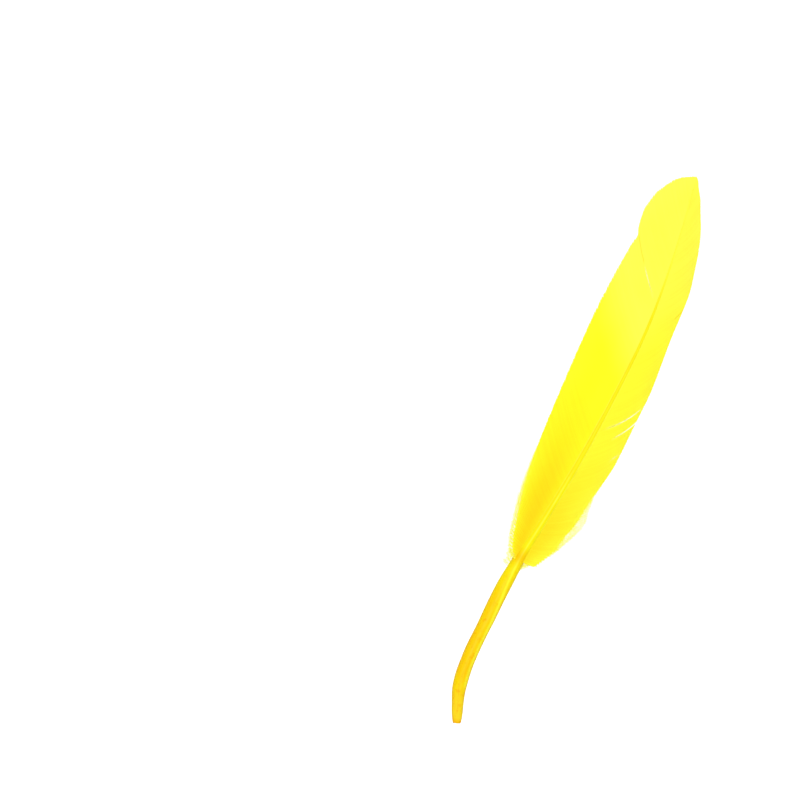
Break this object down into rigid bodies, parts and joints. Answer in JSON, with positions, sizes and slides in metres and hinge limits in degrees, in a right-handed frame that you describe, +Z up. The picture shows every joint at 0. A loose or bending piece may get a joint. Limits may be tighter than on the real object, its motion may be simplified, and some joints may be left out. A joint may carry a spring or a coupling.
{
  "type": "goose quill feather",
  "caption": "Yellow-dyed goose quill feather lying flat: a bare hollow quill, a tapering shaft and two smooth vanes of unequal width with a few parted barbs.",
  "frame": {"origin": "middle of the footprint of the feather's bounding box, on the surface that it lies on", "axes": "+Y along the feather from the quill's cut end to the vane's tip, +Z up out of the smooth upper side, +X towards the narrower vane"},
  "size_m": [0.017, 0.12, 0.0033],
  "materials": {
    "vane": "satin",
    "quill": "satin"
  },
  "bodies": {
    "root": {"feather": "vane"}
  },
  "joints": []
}
